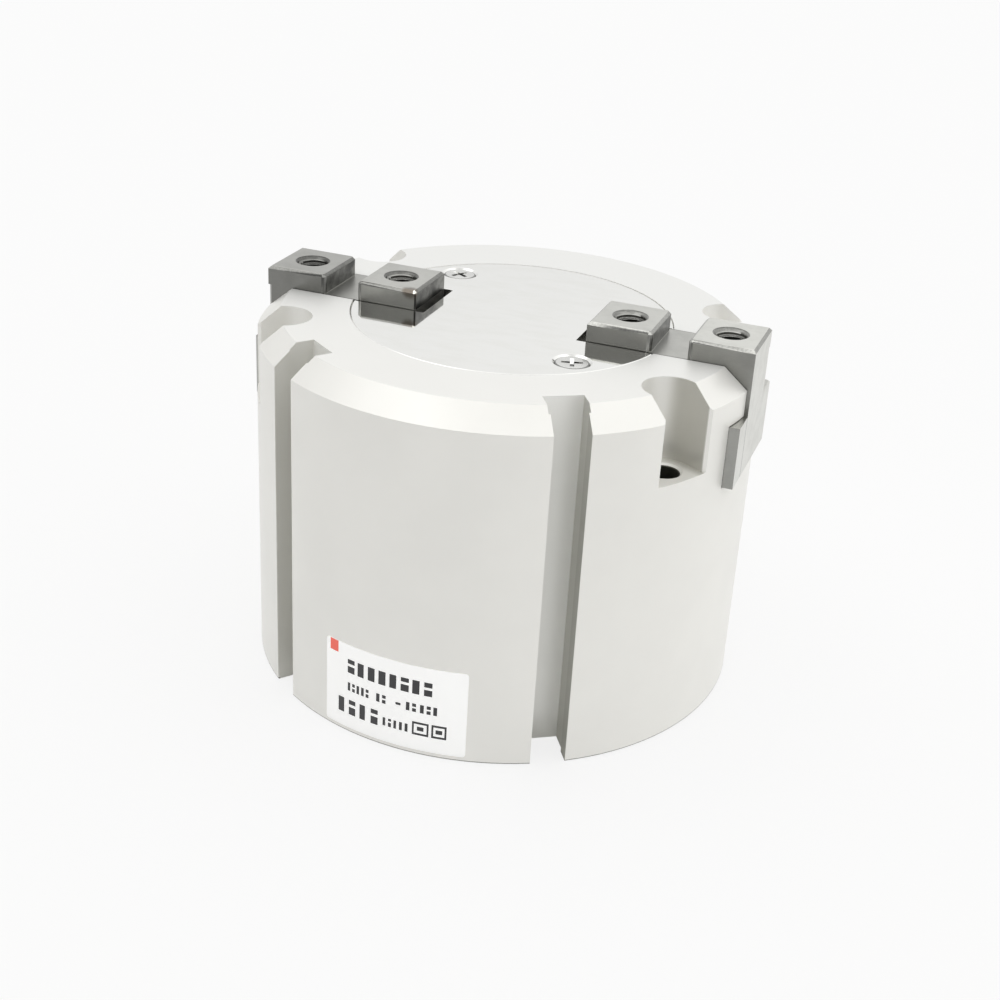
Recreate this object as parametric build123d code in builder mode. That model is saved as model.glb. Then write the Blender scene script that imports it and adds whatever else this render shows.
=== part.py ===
from build123d import *
import os
from math import cos, hypot, radians, sin, sqrt

# Two-finger parallel gripper with a round body, driven by air.
# A piston in the lower half pushes a wedge cam up. Two inclined T-slots in the cam
# hold the inclined T-keys of the fingers, so the fingers move apart as the cam rises.
# Frame: +Z up, fingers travel along X, origin at the centre of the bottom face.
# All sizes are in millimetres, and the fingers are drawn closed, with the piston down.

os.makedirs("parts", exist_ok=True)

# Travel of the piston and of each finger for one millimetre of it
piston_stroke = 10.0
wedge_ratio = 0.8

# Body
bore_radius = 31.5
body_wall = 11.5
top_chamfer_width = 4.0
top_chamfer_height = 3.4
foot_chamfer = 0.2
partition_thickness = 5.3
bore_lead = 0.8
head_boss_wall = 2.42
head_boss_drop = 3.0

# End cap and its retaining ring, from the bottom face upwards
ring_land = 1.0
ring_thickness = 1.5
ring_bite = 1.5
ring_width = 3.6
ring_eye_radius = 2.2
ring_eye_hole_radius = 1.1
ring_eye_bearings = (-102, -78)
ring_gap = 7.2
cap_clearance = 0.1
cap_groove_height = 1.8
cap_groove_width = 2.6
cap_groove_depth = 1.9
cap_top_land = 1.2
cap_rim = 10.5
cap_relief_depth = 1.6

# Bumpers
bumper_proud = 0.5
bumper_inset = 0.8
bumper_gap = 2.0
bumper_width = 6.0

# Piston, rod and seals
piston_clearance = 0.4
piston_chamfer = 1.0
rod_radius = 8.0
rod_clearance = 0.08
bush_wall = 1.5
rod_seal_width = 3.5
rod_seal_height = 2.2
retainer_thickness = 0.8
piston_foot_land = 1.3
seal_groove_width = 3.2
seal_groove_depth = 3.0
piston_middle_land = 1.1
magnet_groove_width = 2.6
magnet_groove_depth = 4.0
piston_top_land = 1.4
soft_gap = 0.15
seat_gap = 0.05

# Wedge cam
cam_height = 14.0
cam_side_gap = 1.25
cam_end_land = 3.5
cam_top_half_length = 12.6
cam_floor_gap = 0.4
cam_top_gap = 0.6
cam_seat_depth = 2.6
wedge_gap = 0.15
pocket_end_gap = 1.0
pocket_corner = 3.0

# Inclined T-keys of the fingers
key_neck_width = 6.0
key_neck_depth = 2.4
key_head_width = 11.0
key_head_depth = 2.4
key_gap = 0.15
key_centre_gap = 0.5

# Cam bolt, an M6 socket head cap screw with a spring washer
cam_bolt_radius = 3.0
cam_bolt_tap_radius = 2.5
cam_bolt_head_radius = 5.0
cam_bolt_head_height = 6.0
cam_bolt_length = 20.0
cam_bolt_socket = 5.0
cam_bolt_socket_depth = 3.0
cam_bolt_chamfer = 0.5
cam_bolt_recess = 0.5
cam_washer_thickness = 1.4

# End plate and its two countersunk M3 screws
plate_radius = 27.4
plate_thickness = 3.0
plate_gap = 0.1
plate_slot_end_gap = 1.55
plate_slot_gap = 0.35
plate_screw_edge = 4.7
plate_screw_bearings = (-45, 135)
plate_screw_head_radius = 3.0
plate_screw_radius = 1.5
plate_screw_tap_radius = 1.25
plate_screw_length = 9.0
plate_screw_recess = 0.15
cross_length = 3.4
cross_width = 0.7
cross_depth = 1.3
cross_taper = 12.0

# T-slot of the body and the fingers that slide in it
neck_width = 12.5
flange_width = 23.2
flange_height = 10.6
flange_drop = 7.95
slide_gap = 0.15
flange_corner = 0.6
finger_overhang = 0.15
pad_length = 11.0
pad_spacing = 17.0
pad_rise = 3.35
pad_chamfer = 0.5
pad_corner = 0.8
leg_drop = 4.5
leg_thickness = 3.5
leg_end_gap = 0.3
finger_top_gap = 0.4

# Tapped M5 holes for the gripping jaws
jaw_tap_radius = 2.1
jaw_sink_radius = 3.05
jaw_hole_depth = 11.0

# Open counterbores and through holes for the mounting screws
notch_edge = 4.6
notch_bearings = (30, 150, 210, 330)
notch_radius = 4.7
notch_depth = 14.0
notch_flare = 0.6
notch_overrun = 4.3
through_radius = 2.55
through_chamfer = 0.5

# Sensor grooves
groove_bearings = (-57.3, -126.6)
groove_depth = 7.2
groove_mouth = 5.9
groove_inside = 6.5
groove_lip = 2.9

# Air ports, tapped M5, on the back
port_radius = 2.1
port_depth = 6.5
port_chamfer = 0.4
air_hole_radius = 0.9
air_hole_inset = 1.1

# Locating pin holes in the bottom face
pin_hole_radius = 1.5
pin_hole_depth = 5.0
pin_edge = 5.8

# Sticker on the cylinder
label_bearings = (-110.3, -75.75)
label_foot = 0.75
label_height = 15.9
label_thickness = 0.1

# Levels, worked out from the bottom face upwards
cap_foot = ring_land + ring_thickness
cap_thickness = cap_groove_height + cap_groove_width + cap_top_land
cap_top = cap_foot + cap_thickness
piston_foot = cap_top + bumper_proud
magnet_groove_height = piston_foot_land + seal_groove_width + piston_middle_land
piston_thickness = magnet_groove_height + magnet_groove_width + piston_top_land
piston_top = piston_foot + piston_thickness
head_level = piston_top + piston_stroke + bumper_proud
pocket_floor = head_level + partition_thickness
cam_foot = pocket_floor + cam_floor_gap
cam_top = cam_foot + cam_height
plate_foot = cam_top + piston_stroke + cam_top_gap
body_height = plate_foot + plate_thickness
boss_level = head_level - head_boss_drop
flange_top = body_height - flange_drop
flange_foot = flange_top - flange_height
slot_foot = flange_foot - slide_gap
slot_top = flange_top + slide_gap
leg_foot = flange_foot - leg_drop
finger_ceiling = plate_foot - finger_top_gap
notch_level = body_height - notch_depth
seal_seat = pocket_floor - retainer_thickness - seat_gap - rod_seal_height

# Plan sizes that follow from the ones above
body_radius = bore_radius + body_wall
cap_radius = bore_radius - cap_clearance
cap_relief_radius = bore_radius - cap_rim
piston_radius = bore_radius - piston_clearance
bush_bore = rod_radius + rod_clearance
bush_outer = bush_bore + bush_wall
rod_seal_radius = rod_radius + rod_seal_width
head_boss_radius = bush_outer + head_boss_wall
bumper_inner = head_boss_radius + bumper_gap
bumper_outer = bumper_inner + bumper_width
finger_travel = piston_stroke * wedge_ratio
slot_half_width = flange_width / 2 + slide_gap
neck_slot_half_width = neck_width / 2 + slide_gap
cam_half_width = slot_half_width - cam_side_gap
cam_half_length = cam_top_half_length + (cam_height - cam_end_land) * wedge_ratio
pocket_half_length = cam_half_length + pocket_end_gap
finger_outer = body_radius + finger_overhang
finger_inner = finger_outer - pad_spacing - pad_length
plate_slot_inner = finger_inner - plate_slot_end_gap
plate_screw_circle = plate_radius - plate_screw_edge
notch_circle = body_radius - notch_edge
pin_circle = body_radius - pin_edge
pad_centres = (finger_inner + pad_length / 2, finger_outer - pad_length / 2)
key_depth = key_neck_depth + key_head_depth

# The wedge planes lean towards the axis by wedge_ratio for each millimetre of height
lean = hypot(1, wedge_ratio)
slope_up = Vector(-wedge_ratio, 0, 1) / lean
slope_out = Vector(-1, 0, -wedge_ratio) / lean


def wedge_x(height, offset=0.0):
    """X of the right wedge plane at a height, moved towards the cam by an offset."""
    return cam_top_half_length + (cam_top - height) * wedge_ratio - offset * lean


def height_at(x, offset=0.0):
    """Height at which the right wedge plane, moved towards the cam, reaches X."""
    return cam_top + (cam_top_half_length - offset * lean - x) / wedge_ratio


def wedge_section(height):
    """Plane across the right wedge plane: X along Y, Y from the finger towards the cam."""
    origin = Vector(wedge_x(height), 0, height)
    return Plane(origin=origin, x_dir=slope_out.cross(slope_up), z_dir=slope_up)


def bearing_point(radius, bearing):
    """Point on a circle about the axis, by its bearing from +X in degrees."""
    return (radius * cos(radians(bearing)), radius * sin(radians(bearing)))


leg_outer = wedge_x(leg_foot) + leg_thickness
leg_slot_end = leg_outer + finger_travel + leg_end_gap
key_top = height_at(key_centre_gap, key_depth)

plate_screw_centres = [bearing_point(plate_screw_circle, b) for b in plate_screw_bearings]

# Body: the turned outside
with BuildPart() as body:
    Cylinder(body_radius, body_height, align=(Align.CENTER, Align.CENTER, Align.MIN))
    top_face = body.faces().sort_by(Axis.Z)[-1]
    chamfer(top_face.edges(), top_chamfer_width, top_chamfer_height, reference=top_face)
    chamfer(body.edges().filter_by(GeomType.CIRCLE).sort_by(Axis.Z)[0], foot_chamfer)

    # Cylinder bore from below, with the head boss that carries the rod bush
    with BuildSketch():
        Circle(bore_radius)
    extrude(amount=head_level, mode=Mode.SUBTRACT)
    foot_rims = body.edges().filter_by(GeomType.CIRCLE).group_by(Axis.Z)[0]
    chamfer(foot_rims.sort_by(SortBy.RADIUS)[0], bore_lead)
    with BuildSketch(Plane.XY.offset(boss_level)):
        Circle(head_boss_radius)
    extrude(amount=head_boss_drop)
    with BuildSketch(Plane.XY.offset(ring_land)):
        Circle(bore_radius + ring_bite)
    extrude(amount=ring_thickness, mode=Mode.SUBTRACT)
    with BuildSketch(Plane.XY.offset(head_level)):
        Circle(bumper_outer)
        Circle(bumper_inner, mode=Mode.SUBTRACT)
    extrude(amount=bumper_inset, mode=Mode.SUBTRACT)

    # Rod hole: a bush seat from below and a seal seat from above
    with BuildSketch(Plane.XY.offset(boss_level)):
        Circle(bush_outer)
    extrude(amount=pocket_floor - boss_level, mode=Mode.SUBTRACT)
    with BuildSketch(Plane.XY.offset(seal_seat)):
        Circle(rod_seal_radius)
    extrude(amount=pocket_floor - seal_seat, mode=Mode.SUBTRACT)

    # Cam pocket and plate recess, milled from above
    with BuildSketch(Plane.XY.offset(pocket_floor)):
        RectangleRounded(2 * pocket_half_length, 2 * slot_half_width, pocket_corner)
    extrude(amount=body_height - pocket_floor, mode=Mode.SUBTRACT)
    with BuildSketch(Plane.XY.offset(plate_foot)):
        Circle(plate_radius + plate_gap)
    extrude(amount=plate_thickness, mode=Mode.SUBTRACT)

    # T-slot right across the top, and the deeper slot for the fingers' legs
    with BuildSketch(Plane.XY.offset(slot_foot)):
        Rectangle(2 * body_radius, 2 * slot_half_width)
    extrude(amount=slot_top - slot_foot, mode=Mode.SUBTRACT)
    with BuildSketch(Plane.XY.offset(slot_foot)):
        Rectangle(2 * body_radius, 2 * neck_slot_half_width)
    extrude(amount=body_height - slot_foot, mode=Mode.SUBTRACT)
    with BuildSketch(Plane.XY.offset(leg_foot - leg_end_gap)):
        Rectangle(2 * leg_slot_end, 2 * neck_slot_half_width)
    extrude(amount=slot_foot - leg_foot + leg_end_gap, mode=Mode.SUBTRACT)

    # Open counterbores with a flared mouth, and the holes below them
    mouth_depth = sqrt(body_radius**2 - notch_radius**2) - notch_circle
    flare_end = mouth_depth + notch_overrun
    flare_half = notch_radius + notch_flare + notch_overrun
    with BuildSketch(Plane.XY.offset(notch_level)):
        for bearing in notch_bearings:
            with PolarLocations(notch_circle, 1, start_angle=bearing):
                Circle(notch_radius)
                Rectangle(body_radius, 2 * notch_radius, align=(Align.MIN, Align.CENTER))
                Polygon(
                    (mouth_depth - notch_flare, notch_radius),
                    (mouth_depth - notch_flare, -notch_radius),
                    (flare_end, -flare_half),
                    (flare_end, flare_half),
                    align=None,
                )
    extrude(amount=notch_depth, mode=Mode.SUBTRACT)
    with BuildSketch():
        for bearing in notch_bearings:
            with PolarLocations(notch_circle, 1, start_angle=bearing):
                Circle(through_radius)
    extrude(amount=notch_level, mode=Mode.SUBTRACT)
    chamfer(body.edges(Select.LAST).filter_by(GeomType.CIRCLE), through_chamfer)

    # Sensor grooves along the whole height, wider behind their lips
    with BuildSketch():
        for bearing in groove_bearings:
            with PolarLocations(body_radius - groove_depth, 1, start_angle=bearing):
                Rectangle(2 * groove_depth, groove_mouth, align=(Align.MIN, Align.CENTER))
                Rectangle(groove_depth - groove_lip, groove_inside, align=(Align.MIN, Align.CENTER))
    extrude(amount=body_height, mode=Mode.SUBTRACT)

    # Air ports on the back, one at each end of the cylinder
    port_levels = (cap_top + air_hole_inset, head_level - air_hole_inset)
    back = Plane.XZ.offset(-body_radius)
    with BuildSketch(back):
        for level in port_levels:
            with Locations((0, level)):
                Circle(port_radius)
    extrude(amount=port_depth, mode=Mode.SUBTRACT)
    port_mouths = body.edges(Select.LAST).sort_by(Axis.Y)[-len(port_levels):]
    chamfer(port_mouths, port_chamfer)
    with BuildSketch(back):
        for level in port_levels:
            with Locations((0, level)):
                Circle(air_hole_radius)
    extrude(amount=body_radius - bore_radius + air_hole_radius, mode=Mode.SUBTRACT)

    # Tapped holes for the plate screws, and pin holes in the bottom face
    with BuildSketch(Plane.XY.offset(plate_foot)):
        with Locations(*plate_screw_centres):
            Circle(plate_screw_tap_radius)
    extrude(amount=-plate_screw_length, mode=Mode.SUBTRACT)
    with BuildSketch():
        with Locations((-pin_circle, 0), (pin_circle, 0)):
            Circle(pin_hole_radius)
    extrude(amount=pin_hole_depth, mode=Mode.SUBTRACT)

body.part.label = "body"
export_step(body.part, "parts/body.step")

# End plate: a disc with an open slot on each side for the finger necks
with BuildPart() as end_plate:
    with BuildSketch(Plane.XY.offset(plate_foot)):
        Circle(plate_radius)
        slot_reach = plate_radius - plate_slot_inner
        with Locations((plate_slot_inner, 0)):
            Rectangle(
                slot_reach,
                neck_width + 2 * plate_slot_gap,
                align=(Align.MIN, Align.CENTER),
                mode=Mode.SUBTRACT,
            )
        mirror(about=Plane.YZ, mode=Mode.INTERSECT)
    extrude(amount=plate_thickness)
    with Locations(Plane.XY.offset(body_height)):
        with Locations(*plate_screw_centres):
            CounterSinkHole(
                radius=plate_screw_radius + plate_gap,
                counter_sink_radius=plate_screw_head_radius + plate_screw_recess + plate_gap,
                counter_sink_angle=90,
            )

end_plate.part.label = "end_plate"
export_step(end_plate.part, "parts/end_plate.step")

# Plate screws: countersunk, with a cross recess
screw_top = body_height - plate_screw_recess
with BuildPart() as end_plate_screws:
    cone_height = plate_screw_head_radius - plate_screw_tap_radius
    with BuildSketch(Plane.XY.offset(screw_top)):
        with Locations(*plate_screw_centres):
            Circle(plate_screw_tap_radius)
    extrude(amount=-plate_screw_length)
    with BuildSketch(Plane.XY.offset(screw_top)):
        with Locations(*plate_screw_centres):
            Circle(plate_screw_head_radius)
    extrude(amount=-cone_height, taper=45)
    with BuildSketch(Plane.XY.offset(screw_top)):
        with Locations(*plate_screw_centres):
            with Locations(Rotation(0, 0, plate_screw_bearings[0])):
                Rectangle(cross_length, cross_width)
                Rectangle(cross_width, cross_length)
    extrude(amount=-cross_depth, taper=cross_taper, mode=Mode.SUBTRACT)

end_plate_screws.part.label = "end_plate_screws"
export_step(end_plate_screws.part, "parts/end_plate_screws.step")

# Right finger: the inclined key first, then leg, flange, neck and pads
with BuildPart() as finger_right:
    key_plane = wedge_section(leg_foot)
    key_reach = (key_top - leg_foot) * lean + key_depth * wedge_ratio
    with BuildSketch(key_plane.offset(-key_depth)):
        Rectangle(key_neck_width, key_depth, align=(Align.CENTER, Align.MIN))
        with Locations((0, key_neck_depth)):
            Rectangle(key_head_width, key_head_depth, align=(Align.CENTER, Align.MIN))
    extrude(amount=key_reach + key_depth)
    split(bisect_by=Plane.XY.offset(leg_foot), keep=Keep.TOP)
    split(bisect_by=Plane.XY.offset(key_top), keep=Keep.BOTTOM)
    with BuildSketch(Plane.XZ):
        Polygon(
            (wedge_x(leg_foot), leg_foot),
            (leg_outer, leg_foot),
            (leg_outer, flange_foot),
            (finger_outer, flange_foot),
            (finger_outer, body_height),
            (finger_inner, body_height),
            (finger_inner, finger_ceiling),
            (wedge_x(finger_ceiling), finger_ceiling),
            align=None,
        )
    extrude(amount=neck_width / 2, both=True)
    with BuildSketch(Plane.XZ):
        Polygon(
            (wedge_x(flange_foot), flange_foot),
            (finger_outer, flange_foot),
            (finger_outer, flange_top),
            (wedge_x(flange_top), flange_top),
            align=None,
        )
    extrude(amount=flange_width / 2, both=True)
    flange_ends = finger_right.edges(Select.LAST).filter_by(Axis.Z).sort_by(Axis.X)
    chamfer(flange_ends[-2:], flange_corner)
    for centre in pad_centres:
        with BuildSketch(Plane.XY.offset(body_height)):
            with Locations((centre, 0)):
                Rectangle(pad_length, neck_width)
        extrude(amount=pad_rise)
    pad_corners = finger_right.edges().filter_by(Axis.Z)
    pad_corners = pad_corners.filter_by_position(Axis.Z, body_height, body_height + pad_rise)
    inner_pad_end, outer_pad_start = finger_inner + pad_length, finger_outer - pad_length
    pad_corners = pad_corners.filter_by_position(Axis.X, inner_pad_end, outer_pad_start)
    fillet(pad_corners, pad_corner)
    pad_faces = finger_right.faces().filter_by(Axis.Z).group_by(Axis.Z)[-1]
    chamfer(pad_faces.edges(), pad_chamfer)
    for centre in pad_centres:
        with Locations((centre, 0, body_height + pad_rise)):
            CounterSinkHole(
                radius=jaw_tap_radius,
                counter_sink_radius=jaw_sink_radius,
                depth=jaw_hole_depth,
                counter_sink_angle=90,
            )

finger_right.part.label = "finger_right"
export_step(finger_right.part, "parts/finger_right.step")

# Left finger: the same piece turned half round
with BuildPart() as finger_left:
    add(finger_right.part.rotate(Axis.Z, 180))

finger_left.part.label = "finger_left"
export_step(finger_left.part, "parts/finger_left.step")

# Wedge cam: two inclined faces, each with a T-slot for a finger's key
with BuildPart() as wedge_cam:
    corner_level = height_at(cam_half_length, wedge_gap)
    cam_shoulder = wedge_x(cam_top, wedge_gap)
    with BuildSketch(Plane.XZ):
        Polygon(
            (cam_shoulder, cam_top),
            (cam_half_length, corner_level),
            (cam_half_length, cam_foot),
            (-cam_half_length, cam_foot),
            (-cam_half_length, corner_level),
            (-cam_shoulder, cam_top),
            align=None,
        )
    extrude(amount=cam_half_width, both=True)
    slot_run = 2 * cam_height * lean
    slot_plane = wedge_section(cam_foot).offset(-cam_height / 2)
    with BuildSketch(slot_plane):
        Rectangle(
            key_neck_width + 2 * key_gap,
            2 * key_neck_depth,
            align=(Align.CENTER, Align.CENTER),
        )
        with Locations((0, key_neck_depth - key_gap)):
            Rectangle(
                key_head_width + 2 * key_gap,
                key_head_depth + 2 * key_gap,
                align=(Align.CENTER, Align.MIN),
            )
    extrude(amount=slot_run, mode=Mode.SUBTRACT)
    mirror(about=Plane.YZ, mode=Mode.INTERSECT)
    with BuildSketch(Plane.XY.offset(cam_foot)):
        Circle(rod_radius + seat_gap)
    extrude(amount=cam_seat_depth, mode=Mode.SUBTRACT)
    bolt_seat = cam_top - cam_bolt_recess - cam_bolt_head_height - cam_washer_thickness
    with BuildSketch(Plane.XY.offset(bolt_seat)):
        Circle(cam_bolt_head_radius + soft_gap)
    extrude(amount=cam_top - bolt_seat, mode=Mode.SUBTRACT)
    with BuildSketch(Plane.XY.offset(cam_foot)):
        Circle(cam_bolt_radius + soft_gap)
    extrude(amount=cam_height, mode=Mode.SUBTRACT)

wedge_cam.part.label = "wedge_cam"
export_step(wedge_cam.part, "parts/wedge_cam.step")

# Spring washer: a split ring under the bolt head
with BuildPart() as cam_lock_washer:
    with BuildSketch(Plane.XY.offset(bolt_seat)):
        Circle(cam_bolt_head_radius)
        Circle(cam_bolt_radius + seat_gap, mode=Mode.SUBTRACT)
        with Locations((cam_bolt_radius, 0)):
            Rectangle(2 * cam_bolt_radius, cam_washer_thickness / 2, mode=Mode.SUBTRACT)
    extrude(amount=cam_washer_thickness)

cam_lock_washer.part.label = "cam_lock_washer"
export_step(cam_lock_washer.part, "parts/cam_lock_washer.step")

# Cam bolt: socket head cap screw into the rod
with BuildPart() as cam_bolt:
    head_seat = bolt_seat + cam_washer_thickness
    with BuildSketch(Plane.XY.offset(head_seat)):
        Circle(cam_bolt_head_radius)
    extrude(amount=cam_bolt_head_height)
    chamfer(cam_bolt.edges().group_by(Axis.Z)[-1], cam_bolt_chamfer)
    with BuildSketch(Plane.XY.offset(head_seat)):
        Circle(cam_bolt_tap_radius)
    extrude(amount=-cam_bolt_length)
    with BuildSketch(Plane.XY.offset(head_seat + cam_bolt_head_height)):
        RegularPolygon(cam_bolt_socket / 2, 6, major_radius=False)
    extrude(amount=-cam_bolt_socket_depth, mode=Mode.SUBTRACT)

cam_bolt.part.label = "cam_bolt"
export_step(cam_bolt.part, "parts/cam_bolt.step")

# Piston and rod in one piece, drilled and tapped for the cam bolt
with BuildPart() as piston:
    with BuildSketch(Plane.XY.offset(piston_foot)):
        Circle(piston_radius)
    extrude(amount=piston_thickness)
    chamfer(piston.edges().filter_by(GeomType.CIRCLE), piston_chamfer)
    with BuildSketch(Plane.XY.offset(piston_top - head_boss_drop)):
        Circle(head_boss_radius + piston_chamfer)
    extrude(amount=head_boss_drop, mode=Mode.SUBTRACT)
    with BuildSketch(Plane.XY.offset(piston_foot)):
        Circle(rod_radius)
    rod_top = cam_foot + cam_seat_depth
    extrude(amount=rod_top - piston_foot)
    grooves = (
        (piston_foot_land, seal_groove_width, seal_groove_depth),
        (magnet_groove_height, magnet_groove_width, magnet_groove_depth),
    )
    for height, width, depth in grooves:
        with BuildSketch(Plane.XY.offset(piston_foot + height)):
            Circle(piston_radius)
            Circle(piston_radius - depth, mode=Mode.SUBTRACT)
        extrude(amount=width, mode=Mode.SUBTRACT)
    with BuildSketch(Plane.XY.offset(piston_foot)):
        Circle(bumper_inner - piston_chamfer)
    extrude(amount=piston_chamfer, mode=Mode.SUBTRACT)
    bolt_hole_foot = head_seat - cam_bolt_length - piston_chamfer
    with BuildSketch(Plane.XY.offset(bolt_hole_foot)):
        Circle(cam_bolt_tap_radius)
    extrude(amount=rod_top - bolt_hole_foot, mode=Mode.SUBTRACT)

piston.part.label = "piston"
export_step(piston.part, "parts/piston.step")

# Piston seal: a ring with two lips and a hollow between them
seal_outer = bore_radius - soft_gap
seal_inner = piston_radius - seal_groove_depth + seat_gap
with BuildPart() as piston_seal:
    seal_foot = piston_foot + piston_foot_land + seat_gap
    seal_height = seal_groove_width - 2 * seat_gap
    with BuildSketch(Plane.XY.offset(seal_foot)):
        Circle(seal_outer)
        Circle(seal_inner, mode=Mode.SUBTRACT)
    extrude(amount=seal_height)
    with BuildSketch(Plane.XY.offset(seal_foot + seal_height / 3)):
        Circle(seal_outer)
        Circle(piston_radius - seal_groove_depth / 3, mode=Mode.SUBTRACT)
    extrude(amount=seal_height / 3, mode=Mode.SUBTRACT)

piston_seal.part.label = "piston_seal"
export_step(piston_seal.part, "parts/piston_seal.step")

# Magnet ring in the piston's upper groove
with BuildPart() as magnet_ring:
    with BuildSketch(Plane.XY.offset(piston_foot + magnet_groove_height + seat_gap)):
        Circle(piston_radius - soft_gap)
        Circle(piston_radius - magnet_groove_depth + seat_gap, mode=Mode.SUBTRACT)
    extrude(amount=magnet_groove_width - 2 * seat_gap)

magnet_ring.part.label = "magnet_ring"
export_step(magnet_ring.part, "parts/magnet_ring.step")

# Rod bush, pressed into the head boss
with BuildPart() as rod_bush:
    with BuildSketch(Plane.XY.offset(boss_level)):
        Circle(bush_outer)
        Circle(bush_bore, mode=Mode.SUBTRACT)
    extrude(amount=seal_seat - boss_level)

rod_bush.part.label = "rod_bush"
export_step(rod_bush.part, "parts/rod_bush.step")

# Rod seal: a lip that leans down towards the piston side
with BuildPart() as rod_seal:
    with BuildSketch(Plane.XZ):
        Polygon(
            (rod_seal_radius - seat_gap, seal_seat),
            (rod_seal_radius - seat_gap, seal_seat + rod_seal_height),
            (rod_radius + soft_gap + rod_seal_height / 3, seal_seat + rod_seal_height),
            (rod_radius + soft_gap, seal_seat + rod_seal_height / 2),
            (rod_radius + soft_gap, seal_seat),
            (rod_radius + rod_seal_height / 2, seal_seat + rod_seal_height / 3),
            (rod_seal_radius - rod_seal_height / 2, seal_seat + rod_seal_height / 3),
            (rod_seal_radius - rod_seal_height / 3, seal_seat),
            align=None,
        )
    revolve(axis=Axis.Z)

rod_seal.part.label = "rod_seal"
export_step(rod_seal.part, "parts/rod_seal.step")

# Retainer ring above the rod seal
with BuildPart() as rod_seal_retainer:
    with BuildSketch(Plane.XY.offset(seal_seat + rod_seal_height)):
        Circle(rod_seal_radius - seat_gap)
        Circle(rod_radius + piston_clearance, mode=Mode.SUBTRACT)
    extrude(amount=retainer_thickness)

rod_seal_retainer.part.label = "rod_seal_retainer"
export_step(rod_seal_retainer.part, "parts/rod_seal_retainer.step")

# Bumpers: rubber rings let into the head and into the cap
bumper_height = bumper_inset + bumper_proud
with BuildPart() as upper_bumper:
    with BuildSketch(Plane.XY.offset(head_level + bumper_inset)):
        Circle(bumper_outer - seat_gap)
        Circle(bumper_inner + seat_gap, mode=Mode.SUBTRACT)
    extrude(amount=-bumper_height)

upper_bumper.part.label = "upper_bumper"
export_step(upper_bumper.part, "parts/upper_bumper.step")

with BuildPart() as lower_bumper:
    with BuildSketch(Plane.XY.offset(cap_top - bumper_inset)):
        Circle(bumper_outer - seat_gap)
        Circle(bumper_inner + seat_gap, mode=Mode.SUBTRACT)
    extrude(amount=bumper_height)

lower_bumper.part.label = "lower_bumper"
export_step(lower_bumper.part, "parts/lower_bumper.step")

# End cap with its ring groove, bumper seat and relieved underside
with BuildPart() as end_cap:
    with BuildSketch(Plane.XY.offset(cap_foot)):
        Circle(cap_radius)
    extrude(amount=cap_thickness)
    chamfer(end_cap.edges().group_by(Axis.Z)[-1], air_hole_inset)
    with BuildSketch(Plane.XY.offset(cap_foot + cap_groove_height)):
        Circle(cap_radius)
        Circle(cap_radius - cap_groove_depth, mode=Mode.SUBTRACT)
    extrude(amount=cap_groove_width, mode=Mode.SUBTRACT)
    with BuildSketch(Plane.XY.offset(cap_top)):
        Circle(bumper_outer)
        Circle(bumper_inner, mode=Mode.SUBTRACT)
    extrude(amount=-bumper_inset, mode=Mode.SUBTRACT)
    with BuildSketch(Plane.XY.offset(cap_foot)):
        Circle(cap_relief_radius)
    extrude(amount=cap_relief_depth, mode=Mode.SUBTRACT)

end_cap.part.label = "end_cap"
export_step(end_cap.part, "parts/end_cap.step")

# O-ring in the cap's groove
with BuildPart() as cap_gasket:
    groove_floor = cap_radius - cap_groove_depth
    cord_radius = (bore_radius - groove_floor) / 2 - seat_gap
    cord_level = cap_foot + cap_groove_height + cap_groove_width / 2
    with BuildSketch(Plane.XZ):
        with Locations(((bore_radius + groove_floor) / 2, cord_level)):
            Circle(cord_radius)
    revolve(axis=Axis.Z)

cap_gasket.part.label = "cap_gasket"
export_step(cap_gasket.part, "parts/cap_gasket.step")

# Snap ring: an open ring with two eyes for the pliers
with BuildPart() as snap_ring:
    ring_outer = bore_radius + ring_bite - seat_gap
    ring_middle = ring_outer - ring_width
    eye_centres = [bearing_point(ring_middle, bearing) for bearing in ring_eye_bearings]
    with BuildSketch(Plane.XY.offset(ring_land)):
        Circle(ring_outer)
        Circle(ring_middle, mode=Mode.SUBTRACT)
        with Locations((0, -ring_outer)):
            Rectangle(ring_gap, 2 * ring_gap, mode=Mode.SUBTRACT)
        with Locations(*eye_centres):
            Circle(ring_eye_radius)
        with Locations(*eye_centres):
            Circle(ring_eye_hole_radius, mode=Mode.SUBTRACT)
    extrude(amount=ring_thickness)

snap_ring.part.label = "snap_ring"
export_step(snap_ring.part, "parts/snap_ring.step")

# Sticker: a thin curved patch on the cylinder
with BuildPart() as label:
    start, end = label_bearings
    with BuildSketch(Plane.XY.offset(label_foot)):
        with BuildLine():
            inner = CenterArc((0, 0), body_radius, start, end - start)
            outer = CenterArc((0, 0), body_radius + label_thickness, start, end - start)
            Line(inner @ 0, outer @ 0)
            Line(inner @ 1, outer @ 1)
        make_face()
    extrude(amount=label_height)

label.part.label = "label"
export_step(label.part, "parts/label.step")
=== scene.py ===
# %% [markdown]
# # A round air gripper, dressed for its portrait
#
# The gripper is a turned aluminium body with two steel fingers that slide apart in a
# T-slot when a piston lifts a wedge cam. Its solids come from the CAD model at their
# real size and place. This lesson gives them clean edges, cut threads, printed film
# and metal finishes, then sets up a small white studio around them.
# Lengths are in metres, with +Z up and the fingers' travel along X.

# %% Load the frame
from math import atan2, cos, degrees, pi, radians, sin

import bmesh
import bpy
from mathutils import Matrix, Vector


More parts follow.
